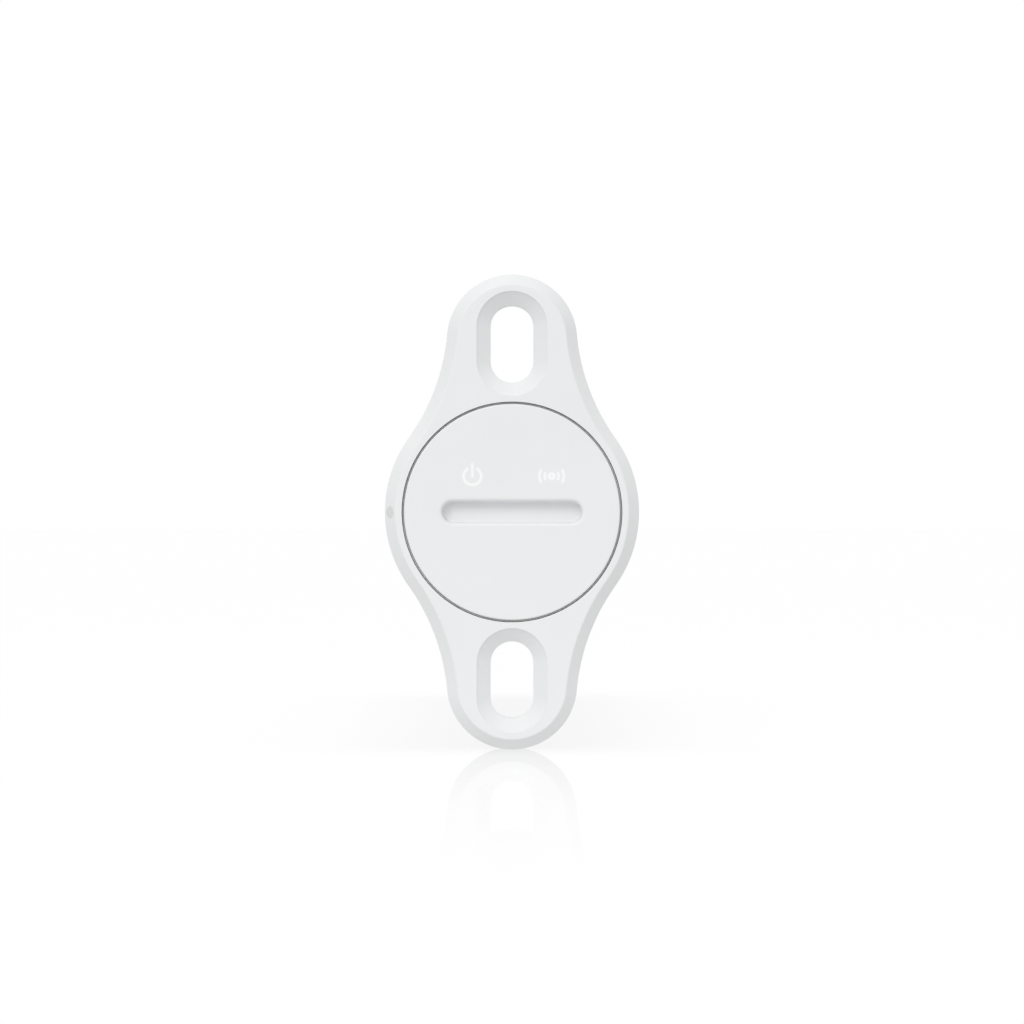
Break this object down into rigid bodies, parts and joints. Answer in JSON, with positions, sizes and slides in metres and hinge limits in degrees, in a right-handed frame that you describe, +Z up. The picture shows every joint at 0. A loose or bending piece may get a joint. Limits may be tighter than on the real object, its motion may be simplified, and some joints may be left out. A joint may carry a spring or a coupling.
{
  "type": "recessed entry sensor",
  "caption": "Recessed door and window entry sensor: a slotted mounting plate and barrel hold a lithium cell and a coin-turned sensor cap with status lights.",
  "frame": {"origin": "centre of the two screw slots, in the plane of the mounting plate's back face", "axes": "+Z up the plate, +X to the right seen from the front, the face looks along -Y and the barrel runs along +Y into the bored hole"},
  "size_m": [0.0254, 0.0436, 0.0476],
  "materials": {
    "white_plastic": "white moulded plastic with a very fine matte texture",
    "cap_plastic": "white moulded plastic, fine matte, thin enough over the lights to glow",
    "cover_plastic": "off-white moulded plastic, matte",
    "grey_plastic": "light grey moulded plastic, matte",
    "black_plastic": "black moulded plastic, matte",
    "clear_plastic": "clear moulded acrylic, polished",
    "button_plastic": "mid grey moulded plastic, matte",
    "seal_rubber": "dark silicone rubber, smooth",
    "lamp_resin": "clear resin over a pale phosphor",
    "board_laminate": "green solder mask over glass laminate",
    "chip_resin": "black moulded epoxy",
    "ceramic_chip": "tan ceramic with tinned ends",
    "reed_glass": "green-tinted clear glass",
    "cell_steel": "nickel-plated drawn steel",
    "sleeve_film": "plain dark blue-grey shrink film, bare of print",
    "nickel": "bright nickel plate on spring steel",
    "screw_steel": "zinc-plated steel",
    "tinplate": "satin tinplate",
    "gold_contact": "gold flash on phosphor bronze",
    "capacitor_can": "satin aluminium can on a black foot"
  },
  "bodies": {
    "housing": {"housing": "white_plastic", "index_dot": "grey_plastic", "cell_can": "cell_steel", "cell_sleeve": "sleeve_film", "cell_gasket": "black_plastic", "cell_positive_cap": "nickel", "negative_spring": "nickel", "negative_strap": "nickel"},
    "seal": {"seal_ring": "seal_rubber"},
    "pod": {"face_cap": "cap_plastic", "rear_cover": "cover_plastic", "power_light_guide": "clear_plastic", "wireless_light_guide": "clear_plastic", "light_shroud": "black_plastic", "status_lamps": "lamp_resin", "circuit_board": "board_laminate", "board_screws": "screw_steel", "reed_glass": "reed_glass", "reed_leads": "nickel", "antenna": "gold_contact", "shield_can": "tinplate", "radio_chip": "chip_resin", "crystal": "tinplate", "bulk_capacitor": "capacitor_can", "chip_parts": "ceramic_chip", "switch_base": "black_plastic", "positive_contact": "gold_contact", "negative_contact": "gold_contact"},
    "pair_button": {"pair_button": "button_plastic", "switch_plunger": "button_plastic"}
  },
  "joints": [
    {"name": "pod_travel", "type": "slide", "parent": "housing", "child": "seal", "axis": [0, -1, 0], "range_m": [0, 0.012]},
    {"name": "pod_turn", "type": "hinge", "parent": "seal", "child": "pod", "pos_m": [0, 0, 0], "axis": [0, -1, 0], "range_deg": [0, 360]},
    {"name": "pair_press", "type": "slide", "parent": "pod", "child": "pair_button", "axis": [0, -1, 0], "range_m": [0, 0.00025], "stiffness_N_per_m": 1500, "springref_m": -0.001}
  ],
  "couplings": [
    {"joint": "pod_turn", "follows": "pod_travel", "rad_per_m": 523.6}
  ]
}
